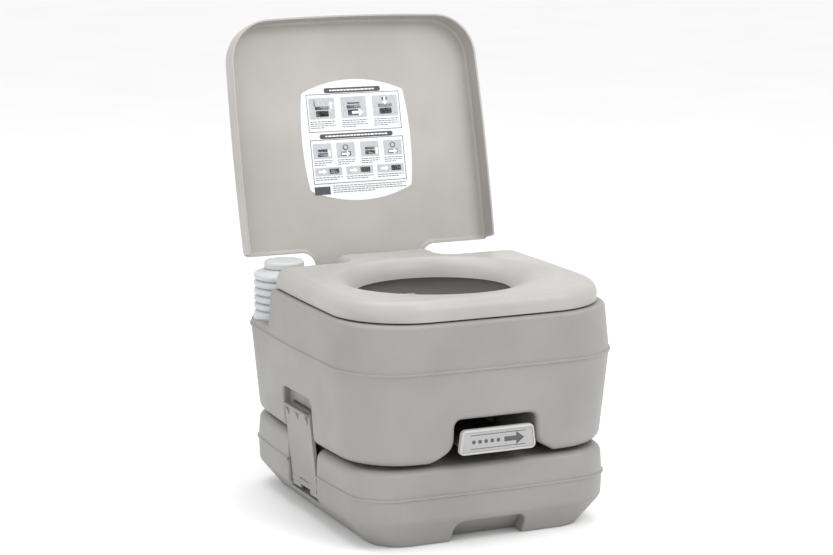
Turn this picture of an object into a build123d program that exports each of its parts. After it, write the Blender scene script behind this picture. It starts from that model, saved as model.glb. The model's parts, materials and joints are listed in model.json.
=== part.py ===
"""Portable camp toilet: a flush-water tank with a bowl, clipped on top of a waste tank.

Millimetres. The origin is the middle of the face the waste tank stands on, +X is to the right for someone
who looks at the toilet from the front, +Y is to the back and +Z is up. The lid is drawn open, and every
other moving piece is drawn at rest.
"""
from build123d import *
import os

# Overall sizes
BODY_WIDTH = 365.0          # across the flush tank's parting ridge
BODY_DEPTH = 415.0          # front to back over the same ridge
WALL = 3.0                  # blow-moulded wall of both tanks
RIDGE_PROUD = 1.6           # parting ridges stand out this far
RIDGE_HEIGHT = 3.4
HALF_X = BODY_WIDTH / 2
HALF_Y = BODY_DEPTH / 2

# Heights above the floor
FOOT_RISE = 34.0            # the waste tank's sloping foot ends here
WASTE_RIDGE_Z = 63.0
WASTE_TOP_Z = 97.0
PAD_HEIGHT = 5.0            # pads that keep the two tanks apart
PAD_RADIUS = 11.0
FLUSH_RIDGE_Z = 214.0
DECK_Z = 271.0
SHELF_Z = 223.0             # sunken shelf behind the seat
FLUSH_BOTTOM_Z = WASTE_TOP_Z + PAD_HEIGHT

# Outline of the flush tank
SIDE_BOW = 9.0
FRONT_BOW = 5.0
FLUSH_CORNER = 78.0
FLUSH_BOTTOM_INSET = 8.5
FLUSH_TOP_INSET = 4.5
FLUSH_BOTTOM_ROUND = 13.0
DECK_ROUND = 5.5

# Outline of the waste tank
WASTE_INSET = 11.0          # its ridge sits this far inside the flush tank's ridge
WASTE_HALF_X = HALF_X - WASTE_INSET
WASTE_HALF_Y = HALF_Y - WASTE_INSET
WASTE_CORNER = 50.0
WASTE_DRAFT = 1.8
WASTE_TOP_ROUND = 11.0
FOOT_INSET_SIDE = 33.0
FOOT_INSET_FRONT = 20.0
FOOT_CORNER = 43.0
FOOT_BOW = 0.5
FOOT_ROUND = 4.0
HIP_ROUND = 12.0            # where the foot's slope meets the side

# Finger notch under the waste tank's front
NOTCH_WIDTH = 94.0
NOTCH_HEIGHT = 28.0
NOTCH_SLOPE = 24.0
NOTCH_CORNER = 13.0
NOTCH_EDGE = 2.5

# Shelf and the tongue that carries the hinge
SHELF_DEPTH = 127.5         # from the back of the tank to the deck
SHELF_FRONT_Y = HALF_Y - SHELF_DEPTH
SHELF_ROUND = 6.0           # edges of the shelf and of the deck above it
TONGUE_HALF = 71.0
TONGUE_LENGTH = 46.0
TONGUE_BACK_Y = SHELF_FRONT_Y + TONGUE_LENGTH

# Bowl
BOWL_SIDE_MARGIN = 70.5
BOWL_HALF_X = HALF_X - BOWL_SIDE_MARGIN
BOWL_HALF_Y = 98.0
BOWL_Y = -23.0
OUTLET_RADIUS = 48.0
OUTLET_Y = 0.0

# Valve handle
HANDLE_HALF = 50.5          # half the width at the foot of the grip
HANDLE_TAPER = 4.0          # the top is this much narrower on each side
HANDLE_LOW_Z = 112.0
HANDLE_HIGH_Z = 142.0
HANDLE_SET_BACK = 0.5
HANDLE_FRONT_Y = HANDLE_SET_BACK - HALF_Y
HANDLE_DEPTH = 17.0
HANDLE_PLATE = 6.5          # thickness of its front plate
HANDLE_CORNER = 6.0
HANDLE_EDGE = 2.0
HANDLE_BORDER = 3.0
LABEL_RECESS = 1.2
LABEL_THICK = 0.5
HANDLE_SCREW_X = 30.0
HANDLE_SCREW_INSET = 5.0    # from the back of the handle
STEM_MARGIN = 5.0           # from the side of the handle to the blade's stem

# Pocket for the valve under the flush tank, and its mouth in front
VALVE_SIDE_MARGIN = 14.0    # of the valve frame round the outlet
VALVE_BACK_MARGIN = 24.0
VALVE_FRONT_MARGIN = 26.0
VALVE_HALF = OUTLET_RADIUS + VALVE_SIDE_MARGIN
VALVE_BACK_Y = OUTLET_Y + OUTLET_RADIUS + VALVE_BACK_MARGIN
VALVE_FRONT_Y = OUTLET_Y - OUTLET_RADIUS - VALVE_FRONT_MARGIN
VALVE_ROOF_Z = 152.0
POCKET_GAP = 5.0
MOUTH_SIDE_GAP = 2.5        # between the handle and the mouth of the pocket
MOUTH_TOP_GAP = 12.0
MOUTH_HALF = HANDLE_HALF + MOUTH_SIDE_GAP
MOUTH_TOP_Z = HANDLE_HIGH_Z + MOUTH_TOP_GAP
MOUTH_FLARE = 28.0
MOUTH_FLARE_Z = 118.0
MOUTH_DEPTH = 62.0
MOUTH_EDGE = 6.0            # rounding of the mouth's edge

# Slide valve
BLADE_THICK = 3.0
BLADE_SIDE_MARGIN = 5.0
BLADE_BACK_MARGIN = 10.0
BLADE_HALF = OUTLET_RADIUS + BLADE_SIDE_MARGIN
BLADE_UNDER_Z = 118.0
BLADE_BACK_Y = OUTLET_Y + OUTLET_RADIUS + BLADE_BACK_MARGIN
BLADE_CLEAR = 0.35
SEAL_WIDTH = 6.0
SEAL_THICK = 3.0
COVER_THICK = 8.0
COLLAR_WALL = 5.0
UPPER_SEAL_HEIGHT = 6.0
SCREW_RADIUS = 1.75
SCREW_HEAD_RADIUS = 3.4
SCREW_HEAD_HEIGHT = 2.2
SCREW_DEPTH = 9.0           # into the waste tank's bosses
BOSS_RADIUS = 5.0
FRAME_CORNER = 6.0
FRAME_SCREW_CLEAR = 0.2

# Side latches
LATCH_Y = -10.0
LATCH_WIDTH = 82.0
LATCH_TOP_Z = 139.0
LATCH_THICK = 4.5
LATCH_SET_BACK = 5.5        # from the ridges to the latch
LATCH_TOP_X = HALF_X - LATCH_SET_BACK  # outer face at its top
LATCH_FOOT_X = WASTE_HALF_X - LATCH_SET_BACK  # outer face at its foot
LATCH_FOOT_Z = 33.0
LATCH_PIVOT_Z = 42.0
LATCH_PIVOT_INSET = 3.6
LATCH_BARREL_RADIUS = 4.8
LATCH_PIN_RADIUS = 2.0
LATCH_LUG_WIDTH = 30.0
LATCH_HOOK = 8.0
LATCH_HOOK_HEIGHT = 4.0
LATCH_HOOK_CLEAR = 2.5      # under the hook, in its slot
LATCH_SIDE_GAP = 4.5
CHANNEL_DEPTH = 17.0
CHANNEL_X = WASTE_HALF_X - CHANNEL_DEPTH  # floor of the channel in the waste tank
CHANNEL_LOW_Z = 29.0
RECESS_DEPTH = 15.0
RECESS_X = HALF_X - RECESS_DEPTH  # floor of the recess in the flush tank
RECESS_TOP_Z = 158.0
CATCH_DEPTH = 8.0
CATCH_HEIGHT = 9.0
CATCH_HALF = 33.0
RECESS_EDGE = 3.0           # rounding where a recess meets the side of a tank

# Hinge shared by the lid and the seat
HINGE_GAP = 10.0            # behind the tongue of the deck
HINGE_DROP = 9.0            # below the deck
HINGE_Y = TONGUE_BACK_Y + HINGE_GAP
HINGE_Z = DECK_Z - HINGE_DROP
HINGE_PIN_RADIUS = 3.0
KNUCKLE_RADIUS = 7.0
LUG_IN_X = 30.0             # inner body lug starts here
LUG_WIDTH = 7.5
SEAT_KNUCKLE_WIDTH = 10.0
LID_KNUCKLE_WIDTH = 12.0
KNUCKLE_GAP = 0.5
PIN_CLEAR = 0.04
PIN_HEAD_RADIUS = 4.8
PIN_HEAD_THICK = 1.8

# Seat
SEAT_SIDE_INSET = 11.7
SEAT_FRONT_INSET = 8.5
SEAT_OVERHANG = 10.0        # over the shelf behind the deck
SEAT_TONGUE_INSET = 2.0
SEAT_TONGUE_REACH = 5.0     # past the hinge
SEAT_GAP = 2.0              # over the deck
SEAT_HEIGHT = 24.0
SEAT_HALF = HALF_X - SEAT_SIDE_INSET
SEAT_FRONT_Y = SEAT_FRONT_INSET - HALF_Y
SEAT_BACK_Y = SHELF_FRONT_Y + SEAT_OVERHANG
SEAT_TONGUE_HALF = TONGUE_HALF - SEAT_TONGUE_INSET
SEAT_TONGUE_Y = HINGE_Y + SEAT_TONGUE_REACH
SEAT_LOW_Z = DECK_Z + SEAT_GAP
SEAT_TOP_Z = SEAT_LOW_Z + SEAT_HEIGHT
SEAT_SKIN = 2.8
SEAT_CORNER = 90.0
SEAT_EDGE_ROUND = 16.0
SEAT_LIP_INSET = 13.0       # of the hole, at the foot of the dish, from the rim of the bowl
SEAT_LIP_HALF_X = BOWL_HALF_X - SEAT_LIP_INSET
SEAT_LIP_HALF_Y = BOWL_HALF_Y - SEAT_LIP_INSET
SEAT_DISH_X = 41.0          # the dish is this much wider at the top of the seat
SEAT_DISH_Y = 41.0
SEAT_DISH_SHIFT = -27.0     # and its middle lies further forward
BUMPER_RADIUS = 7.0
BUMPER_STEM = 3.0
BUMPER_STEM_LENGTH = 7.0
BUMPER_FRONT = (66.8, 49.0)  # front pair, from the side and the front of the seat
BUMPER_BACK = (48.8, 28.0)  # back pair, from the side and the back of the seat

# Lid
LID_OPEN = 104.0            # degrees from shut, as drawn
LID_SIDE_INSET = 8.0
LID_OVERHANG = 2.5          # in front of the flush tank
LID_SHOULDER_GAP = 5.0      # behind the seat
LID_NECK_MARGIN = 5.0       # beside the tongue of the deck
LID_BACK_REACH = 15.0       # past the hinge
LID_RIM_GAP = 3.0           # over the deck
LID_TOP_GAP = 6.0           # over the seat
LID_HALF = HALF_X - LID_SIDE_INSET
LID_FRONT_Y = -HALF_Y - LID_OVERHANG
LID_SHOULDER_Y = SEAT_BACK_Y + LID_SHOULDER_GAP
LID_NECK_HALF = TONGUE_HALF + LID_NECK_MARGIN
LID_BACK_Y = HINGE_Y + LID_BACK_REACH
LID_RIM_Z = DECK_Z + LID_RIM_GAP
LID_TOP_Z = SEAT_TOP_Z + LID_TOP_GAP
LID_SKIN = 2.4
LID_CORNER = 56.0
LID_EDGE_ROUND = 6.0
LID_SHOULDER_ROUND = 7.0
LID_NECK_ROUND = 18.0
LID_LIP = 6.5               # depth of the lip along the shoulders
LID_CHEEK_Y = HINGE_Y - KNUCKLE_RADIUS
LID_LABEL_HALF_X = 77.0
LID_LABEL_HALF_Y = 80.0
LID_LABEL_Y = -49.0
LID_LABEL_BOW_X = 5.0
LID_LABEL_BOW_Y = 16.0
LID_LABEL_THICK = 0.4
LID_LABEL_CORNER = 6.0

# Bellows pump, on the left of the shelf
PUMP_BASE_RADIUS = 40.0
PUMP_SIDE_GAP = 7.5         # from the foot of the pump to the side of the flush tank
PUMP_BACK_GAP = 30.5
PUMP_X = PUMP_BASE_RADIUS + PUMP_SIDE_GAP - HALF_X
PUMP_Y = HALF_Y - PUMP_BASE_RADIUS - PUMP_BACK_GAP
PUMP_COLLAR_HEIGHT = 6.0
PUMP_SEAT_DEPTH = 3.0       # the pump stands in a shallow round seat in the shelf
PUMP_SEAT_GAP = 1.2
FOLD_INSET = 1.0
FOLD_DEPTH = 6.0
FOLD_OUT = PUMP_BASE_RADIUS - FOLD_INSET
FOLD_IN = FOLD_OUT - FOLD_DEPTH
FOLD_COUNT = 6
BELLOWS_NECK = 3.0          # between the top fold and the press button
BELLOWS_SKIN = 1.7          # measured across the slope of a fold
TOP_INSET = 8.0
BELLOWS_TOP_RADIUS = FOLD_IN - TOP_INSET
CAP_MARGIN = 0.5
CAP_RADIUS = BELLOWS_TOP_RADIUS + CAP_MARGIN
CAP_SIDE = 7.0
CAP_DROP = 2.0              # below the top of the seat
CAP_TOP_Z = SEAT_TOP_Z - CAP_DROP
CAP_SKIN = 2.0
BARREL_INSET = 11.0
BARREL_WALL = 3.0
BARREL_RADIUS = PUMP_BASE_RADIUS - BARREL_INSET
BARREL_DEPTH = 16.0
TUBE_RADIUS = 6.0
TUBE_BORE = 4.2
SPIGOT_REACH = 14.0
TUBE_INSET = 14.0           # from the side of the barrel to the middle of a tube
TUBE_OFFSET = BARREL_RADIUS - TUBE_INSET
FLAP_INSET = 5.0
FLAP_RADIUS = (BARREL_RADIUS - BARREL_WALL) / 2 - FLAP_INSET
FLAP_THICK = 1.6
STRAINER_RADIUS = 10.0
STRAINER_HEIGHT = 12.0
HOSE_RADIUS = 5.5
HOSE_BEND = 26.0
HOSE_DROP = 46.0            # below the pump's barrel
NOZZLE_RADIUS = 6.4
NOZZLE_BORE = 2.4
NOZZLE_DROP = 26.0          # below the deck
ELBOW_REACH = 22.0          # behind the wall of the bowl

# Screw caps: the filler on the shelf and the drain at the back of the waste tank
FILL_SIDE = 49.5            # from the side and the back of the flush tank
FILL_BACK = 70.5
FILL_X = HALF_X - FILL_SIDE
FILL_Y = HALF_Y - FILL_BACK
CAP_NECK_RADIUS = 26.0
CAP_NECK_WALL = 3.5
CAP_NECK_HEIGHT = 17.0
CAP_WALL = 3.0
CAP_THREAD_GAP = 0.6
CAP_HEIGHT = 21.0
CAP_RIBS = 24
CAP_RIB_RADIUS = 1.6
CAP_GRIP_WIDTH = 7.0
CAP_GRIP_HEIGHT = 9.0
GASKET_THICK = 2.5
DRAIN_X = 92.0
DRAIN_Z = 60.0
DRAIN_RECESS = 27.0
DRAIN_MARGIN = 9.0

PUMP_Z = SHELF_Z - PUMP_SEAT_DEPTH
PUMP_SEAT_RADIUS = PUMP_BASE_RADIUS + PUMP_SEAT_GAP


def bowed(half_x, half_y, corner, z, grow=0.0, bow=(SIDE_BOW, FRONT_BOW)):
    """A rectangle with gently bowed sides and round corners, at height z."""
    x, y = half_x + grow, half_y + grow
    near_x, near_y = x - bow[0], y - bow[1]
    sides = [
        ThreePointArc((-near_x, -near_y), (0, -y), (near_x, -near_y)),
        ThreePointArc((near_x, -near_y), (x, 0), (near_x, near_y)),
        ThreePointArc((near_x, near_y), (0, y), (-near_x, near_y)),
        ThreePointArc((-near_x, near_y), (-x, 0), (-near_x, -near_y)),
    ]
    face = make_face(sides)
    return Pos(0, 0, z) * fillet(face.vertices(), corner + grow)


def block(x0, x1, y0, y1, z0, z1):
    """A box between two corners."""
    return Pos((x0 + x1) / 2, (y0 + y1) / 2, (z0 + z1) / 2) * Box(x1 - x0, y1 - y0, z1 - z0)


def rod(radius, start, end):
    """A round bar from one point to another."""
    line = Edge.make_line(start, end)
    return extrude(Plane(start, z_dir=line % 0) * Circle(radius), line.length)


def pipe(outer, inner, start, end):
    """A round bar with a hole along it."""
    line = Edge.make_line(start, end)
    ring = Plane(start, z_dir=line % 0) * (Circle(outer) - Circle(inner))
    return extrude(ring, line.length)


def prism(points, rounds, z0, z1):
    """An extruded polygon, with a radius for each of its corners (0 leaves it sharp)."""
    face = make_face(Polyline(*points, close=True))
    for point, radius in zip(points, rounds):
        if radius:
            corner = face.vertices().sort_by_distance((point[0], point[1], 0))[0]
            face = fillet(corner, radius)
    return extrude(Pos(0, 0, z0) * face, z1 - z0)


def mirrored(shape):
    return mirror(shape, Plane.YZ)


def both_sides(shape):
    return shape + mirrored(shape)


def edges_near(shape, x=(-999, 999), y=(-999, 999), z=(-999, 999)):
    """Edges of a shape whose middles lie between the given limits."""
    def inside(edge):
        middle = edge.center()
        return x[0] < abs(middle.X) < x[1] and y[0] < middle.Y < y[1] and z[0] < middle.Z < z[1]
    return shape.edges().filter_by(inside)


def ridge(half_x, half_y, corner, z):
    """The bead where the two halves of the mould meet."""
    band = extrude(bowed(half_x, half_y, corner, z - RIDGE_HEIGHT / 2, RIDGE_PROUD), RIDGE_HEIGHT)
    ends = band.edges().group_by(Axis.Z)
    return fillet(ends[0] + ends[-1], RIDGE_HEIGHT * 0.4)


# ---------------------------------------------------------------- waste tank
def waste_form(grow):
    """The waste tank's outer form, or the space inside it when grow is minus the wall."""
    foot_x, foot_y = WASTE_HALF_X - FOOT_INSET_SIDE, WASTE_HALF_Y - FOOT_INSET_FRONT
    foot = bowed(foot_x, foot_y, FOOT_CORNER, -grow, grow, (FOOT_BOW, FOOT_BOW))
    hip = bowed(WASTE_HALF_X - 1, WASTE_HALF_Y - 1, WASTE_CORNER, FOOT_RISE, grow)
    waist = bowed(WASTE_HALF_X, WASTE_HALF_Y, WASTE_CORNER, WASTE_RIDGE_Z, grow)
    top = bowed(WASTE_HALF_X - WASTE_DRAFT, WASTE_HALF_Y - WASTE_DRAFT, WASTE_CORNER, WASTE_TOP_Z + grow,
                grow)
    base = loft([foot, hip], ruled=True)
    base = fillet(base.edges().group_by(Axis.Z)[0], FOOT_ROUND)
    base += loft([hip, waist], ruled=True)
    base = fillet(edges_near(base, z=(FOOT_RISE - 1, FOOT_RISE + 1)), HIP_ROUND)
    upper = loft([waist, top], ruled=True)
    upper = fillet(upper.edges().group_by(Axis.Z)[-1], WASTE_TOP_ROUND + grow)
    return base + upper


def latch_channel(grow):
    """Room for a latch in the side of the waste tank, right side."""
    half = LATCH_WIDTH / 2 + LATCH_SIDE_GAP + grow
    space = block(CHANNEL_X - grow, HALF_X, LATCH_Y - half, LATCH_Y + half, CHANNEL_LOW_Z - grow,
                  WASTE_TOP_Z + 10)
    return fillet(space.edges().filter_by(Axis.Z).group_by(Axis.X)[0], LATCH_SIDE_GAP + grow)


def latch_pivot():
    """The latch's pivot, on the right side, as x and z."""
    lean = (LATCH_TOP_X - LATCH_FOOT_X) / (LATCH_TOP_Z - LATCH_FOOT_Z)
    return LATCH_FOOT_X + lean * (LATCH_PIVOT_Z - LATCH_FOOT_Z) - LATCH_PIVOT_INSET, LATCH_PIVOT_Z


def latch_lug():
    """The lug in the channel that carries the latch's pin."""
    x, z = latch_pivot()
    low, high = LATCH_Y - LATCH_LUG_WIDTH / 2, LATCH_Y + LATCH_LUG_WIDTH / 2
    lug = rod(LATCH_BARREL_RADIUS, (x, low, z), (x, high, z))
    lug += block(CHANNEL_X - WALL / 2, x, low, high, z - LATCH_BARREL_RADIUS, z + LATCH_BARREL_RADIUS)
    return lug - rod(LATCH_PIN_RADIUS + PIN_CLEAR, (x, low - 1, z), (x, high + 1, z))


def notch(grow):
    """The finger notch under the front, whose back wall slopes."""
    top, low = NOTCH_HEIGHT + grow, -1 - grow
    front, back = -HALF_Y, -WASTE_HALF_Y + FOOT_INSET_FRONT + NOTCH_SLOPE + grow
    side = Polyline((front, low), (front, top), (back - NOTCH_SLOPE, top), (back, low), close=True)
    half = NOTCH_WIDTH / 2 + grow
    space = extrude(Plane.YZ.offset(-half) * make_face(side), 2 * half)
    sides = space.edges().filter_by(Axis.Y).group_by(Axis.Z)[-1]
    return fillet(sides, NOTCH_CORNER + grow)


def cap_neck(length):
    """A threaded neck standing on the XY plane, without its bore."""
    return Cylinder(CAP_NECK_RADIUS, length, align=(Align.CENTER, Align.CENTER, Align.MIN))


def cap_bore(length):
    return Cylinder(CAP_NECK_RADIUS - CAP_NECK_WALL, length, align=(Align.CENTER, Align.CENTER, Align.MIN))


def at_drain(y):
    """A place on the drain's axis, with +Z of the piece pointing backwards."""
    return Location((DRAIN_X, y, DRAIN_Z), (-90, 0, 0))


def drain_recess(grow):
    """Sunken panel at the back, in which the drain cap stands."""
    half = CAP_NECK_RADIUS + CAP_WALL + DRAIN_MARGIN + grow
    back = WASTE_HALF_Y - DRAIN_RECESS - grow
    space = block(DRAIN_X - half, DRAIN_X + half, back, HALF_Y, DRAIN_Z - half, DRAIN_Z + half)
    return fillet(space.edges().filter_by(Axis.Y), 8 + grow)


def valve_screw_places():
    """Six screws round the valve frame."""
    x = VALVE_HALF - BOSS_RADIUS + 1
    reach = VALVE_BACK_Y - VALVE_FRONT_Y - 2 * BOSS_RADIUS
    ys = [VALVE_FRONT_Y + BOSS_RADIUS + reach * i / 2 for i in range(3)]
    return [(side * x, y) for side in (-1, 1) for y in ys]


def rest_pads():
    """Where the pads between the two tanks stand."""
    x = WASTE_HALF_X - WASTE_CORNER
    y = WASTE_HALF_Y - WASTE_CORNER
    return [(sx * x, sy * y) for sx in (-1, 1) for sy in (-1, 1)]


def waste_outside():
    """The waste tank's outer form with its recesses, their edges rounded as a mould leaves them."""
    body = waste_form(0) - both_sides(latch_channel(0))
    reach = LATCH_WIDTH / 2 + LATCH_SIDE_GAP
    side = WASTE_HALF_X - FOOT_INSET_SIDE
    rims = edges_near(body, x=(side, HALF_X), y=(LATCH_Y - reach - 1, LATCH_Y - reach + 1),
                      z=(FOOT_RISE + 1, 999))
    rims += edges_near(body, x=(side, HALF_X), y=(LATCH_Y + reach - 1, LATCH_Y + reach + 1),
                       z=(FOOT_RISE + 1, 999))
    body = fillet(rims, RECESS_EDGE) - notch(0)
    reach = NOTCH_WIDTH / 2 + 1
    mouth_y = -WASTE_HALF_Y + FOOT_INSET_FRONT + 3
    mouth = edges_near(body, x=(-1, reach), y=(-HALF_Y, mouth_y), z=(2, NOTCH_HEIGHT + 1))
    body = fillet(mouth.filter_by(GeomType.BSPLINE), NOTCH_EDGE)
    return body - drain_recess(0)


def make_waste_tank():
    body = waste_outside() + ridge_round_waste_tank()
    space = waste_form(-WALL)
    for feature in (both_sides(latch_channel(WALL)), notch(WALL), drain_recess(WALL)):
        space -= feature
    body -= space
    body += both_sides(latch_lug())
    neck_y = WASTE_HALF_Y - DRAIN_RECESS
    body += at_drain(neck_y - WALL) * cap_neck(CAP_NECK_HEIGHT + WALL)
    body -= at_drain(neck_y - 2 * WALL) * cap_bore(CAP_NECK_HEIGHT + 3 * WALL)
    body -= rod(OUTLET_RADIUS, (0, OUTLET_Y, WASTE_TOP_Z - 2 * WALL), (0, OUTLET_Y, WASTE_TOP_Z + 1))
    for x, y in valve_screw_places():
        body += rod(BOSS_RADIUS, (x, y, WASTE_TOP_Z - SCREW_DEPTH - WALL), (x, y, WASTE_TOP_Z - WALL / 2))
        body -= rod(SCREW_RADIUS, (x, y, WASTE_TOP_Z - SCREW_DEPTH), (x, y, WASTE_TOP_Z + 1))
    for x, y in rest_pads():
        body += rod(PAD_RADIUS, (x, y, WASTE_TOP_Z - WALL / 2), (x, y, FLUSH_BOTTOM_Z))
    return body


def ridge_round_waste_tank():
    bead = ridge(WASTE_HALF_X, WASTE_HALF_Y, WASTE_CORNER, WASTE_RIDGE_Z)
    return bead - both_sides(latch_channel(0)) - drain_recess(0) - waste_form(-WALL)


# ---------------------------------------------------------------- flush tank and bowl
def flush_form(grow):
    """The flush tank's outer form, or the space inside it when grow is minus the wall."""
    bottom = bowed(HALF_X - FLUSH_BOTTOM_INSET, HALF_Y - FLUSH_BOTTOM_INSET, FLUSH_CORNER,
                   FLUSH_BOTTOM_Z - grow, grow)
    waist = bowed(HALF_X, HALF_Y, FLUSH_CORNER, FLUSH_RIDGE_Z, grow)
    top = bowed(HALF_X - FLUSH_TOP_INSET, HALF_Y - FLUSH_TOP_INSET, FLUSH_CORNER, DECK_Z + grow, grow)
    lower = loft([bottom, waist], ruled=True)
    lower = fillet(lower.edges().group_by(Axis.Z)[0], FLUSH_BOTTOM_ROUND + grow)
    upper = loft([waist, top], ruled=True)
    upper = fillet(upper.edges().group_by(Axis.Z)[-1], DECK_ROUND + grow)
    return lower + upper


def shelf_space(grow):
    """The open space over the shelf, round three sides of the tongue."""
    far = HALF_X + 20
    front, inner, back = SHELF_FRONT_Y - grow, TONGUE_HALF - grow, TONGUE_BACK_Y - grow
    points = [(-far, front), (-inner, front), (-inner, back), (inner, back), (inner, front), (far, front)]
    points += [(far, HALF_Y + 20), (-far, HALF_Y + 20)]
    rounds = [0, 14 - grow, 7 - grow, 7 - grow, 14 - grow, 0, 0, 0]
    return prism(points, rounds, SHELF_Z - grow, DECK_Z + 20)


def bowl_form(grow):
    """The bowl: an oval funnel that narrows to the round outlet."""
    depth = DECK_Z - VALVE_ROOF_Z
    stages = [(0.0, 1.0, 1.0), (0.32, 0.92, 0.93), (0.62, 0.72, 0.76), (0.86, 0.53, 0.58)]
    faces = []
    for down, share_x, share_y in stages:
        shift = BOWL_Y + (OUTLET_Y - BOWL_Y) * down
        oval = Ellipse(BOWL_HALF_X * share_x + grow, BOWL_HALF_Y * share_y + grow)
        faces.append(Pos(0, shift, DECK_Z - depth * down) * oval)
    faces.append(Pos(0, OUTLET_Y, VALVE_ROOF_Z) * Ellipse(OUTLET_RADIUS + grow, OUTLET_RADIUS + grow - 0.1))
    rim = extrude(faces[0], WALL)
    return loft(faces) + rim


def valve_pocket(grow):
    """Room for the slide valve under the bowl, with a flared mouth in the front of the tank."""
    half = VALVE_HALF + POCKET_GAP + grow
    low = FLUSH_BOTTOM_Z - 10
    back = VALVE_BACK_Y + POCKET_GAP + grow
    room = block(-half, half, -HALF_Y + MOUTH_DEPTH, back, low, VALVE_ROOF_Z + grow)
    room = fillet(room.edges().filter_by(Axis.Z).group_by(Axis.Y)[-1], 10 + grow)
    mouth, flare = MOUTH_HALF + grow, MOUTH_HALF + MOUTH_FLARE + grow
    edge_z = FLUSH_BOTTOM_Z + 1
    points = [(-mouth, MOUTH_TOP_Z + grow), (mouth, MOUTH_TOP_Z + grow), (mouth, MOUTH_FLARE_Z)]
    points += [(flare, edge_z), (flare, low), (-flare, low), (-flare, edge_z), (-mouth, MOUTH_FLARE_Z)]
    rounds = [9 + grow, 9 + grow, 22 - grow, 0, 0, 0, 0, 22 - grow]
    face = prism(points, rounds, 0, MOUTH_DEPTH + WALL + 20)
    return room + Location((0, -HALF_Y - 20, 0), (90, 0, 0)) * mirror(face, Plane.XY)


def latch_recess(grow):
    """Recess in the side of the flush tank for the top of a latch, with the slot its hook enters."""
    half = LATCH_WIDTH / 2 + LATCH_SIDE_GAP + grow
    space = block(RECESS_X - grow, HALF_X + 9, LATCH_Y - half, LATCH_Y + half, FLUSH_BOTTOM_Z - 9,
                  RECESS_TOP_Z + grow)
    space = fillet(space.edges().filter_by(Axis.X).group_by(Axis.Z)[-1], 8 + grow)
    catch_low = LATCH_TOP_Z - LATCH_HOOK_HEIGHT - LATCH_HOOK_CLEAR - grow
    slot = CATCH_HALF + grow
    catch_high = catch_low + CATCH_HEIGHT + 2 * grow
    deep = RECESS_X - CATCH_DEPTH - grow
    return space + block(deep, RECESS_X, LATCH_Y - slot, LATCH_Y + slot, catch_low, catch_high)


def lug_spans():
    """Where the two body lugs lie along the hinge, right side."""
    second = LUG_IN_X + LUG_WIDTH + SEAT_KNUCKLE_WIDTH + LID_KNUCKLE_WIDTH + 3 * KNUCKLE_GAP
    return [(LUG_IN_X, LUG_IN_X + LUG_WIDTH), (second, second + LUG_WIDTH)]


def hinge_bar(radius, x0, x1):
    return rod(radius, (x0, HINGE_Y, HINGE_Z), (x1, HINGE_Y, HINGE_Z))


def flush_outside():
    """The flush tank's outer form with its shelf, recesses and pocket, their edges rounded."""
    body = flush_form(0) - valve_pocket(0)
    flare = MOUTH_HALF + MOUTH_FLARE + 1
    mouth = edges_near(body, x=(-1, flare), y=(-HALF_Y, 20 - HALF_Y),
                       z=(FLUSH_BOTTOM_Z + 2, MOUTH_TOP_Z + 1))
    body = fillet(mouth, MOUTH_EDGE) - both_sides(latch_recess(0))
    reach = LATCH_WIDTH / 2 + LATCH_SIDE_GAP + 1
    rim = edges_near(body, (RECESS_X + 4, HALF_X), (LATCH_Y - reach, LATCH_Y + reach),
                     (0, RECESS_TOP_Z + 1))
    body = fillet(rim, RECESS_EDGE) - shelf_space(0)
    rims = edges_near(body, y=(TONGUE_BACK_Y + 20, HALF_Y), z=(SHELF_Z - 1, SHELF_Z + 1))
    rims += edges_near(body, (HALF_X - 9, HALF_X), (SHELF_FRONT_Y, TONGUE_BACK_Y + 20),
                       (SHELF_Z - 1, SHELF_Z + 1))
    rims += edges_near(body, y=(SHELF_FRONT_Y - 9, HALF_Y), z=(DECK_Z - 1, DECK_Z + 1))
    return fillet(rims, SHELF_ROUND)


def make_flush_tank():
    body = flush_outside()
    bead = ridge(HALF_X, HALF_Y, FLUSH_CORNER, FLUSH_RIDGE_Z)
    body += bead
    space = flush_form(-WALL) - shelf_space(WALL) - bowl_form(WALL) - valve_pocket(WALL)
    space -= both_sides(latch_recess(WALL))
    space -= rod(PUMP_SEAT_RADIUS + WALL, (PUMP_X, PUMP_Y, PUMP_Z - WALL), (PUMP_X, PUMP_Y, DECK_Z))
    body -= bowl_form(0)
    body -= rod(OUTLET_RADIUS, (0, OUTLET_Y, VALVE_ROOF_Z - 1), (0, OUTLET_Y, VALVE_ROOF_Z + 1))
    body -= space
    for x0, x1 in lug_spans():
        lug = hinge_bar(KNUCKLE_RADIUS, x0, x1)
        lug += block(x0, x1, TONGUE_BACK_Y - WALL / 2, HINGE_Y, HINGE_Z - KNUCKLE_RADIUS,
                     HINGE_Z + KNUCKLE_RADIUS)
        body += both_sides(lug)
        body -= both_sides(hinge_bar(HINGE_PIN_RADIUS + PIN_CLEAR, x0 - 1, x1 + 1))
    body += Pos(FILL_X, FILL_Y, SHELF_Z - WALL) * cap_neck(CAP_NECK_HEIGHT + WALL)
    body -= Pos(FILL_X, FILL_Y, SHELF_Z - 2 * WALL) * cap_bore(CAP_NECK_HEIGHT + 3 * WALL)
    body -= rod(PUMP_SEAT_RADIUS, (PUMP_X, PUMP_Y, PUMP_Z), (PUMP_X, PUMP_Y, DECK_Z))
    body -= rod(BARREL_RADIUS + 0.3, (PUMP_X, PUMP_Y, PUMP_Z - 2 * WALL), (PUMP_X, PUMP_Y, PUMP_Z + 1))
    body -= nozzle_hole()
    return body


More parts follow.
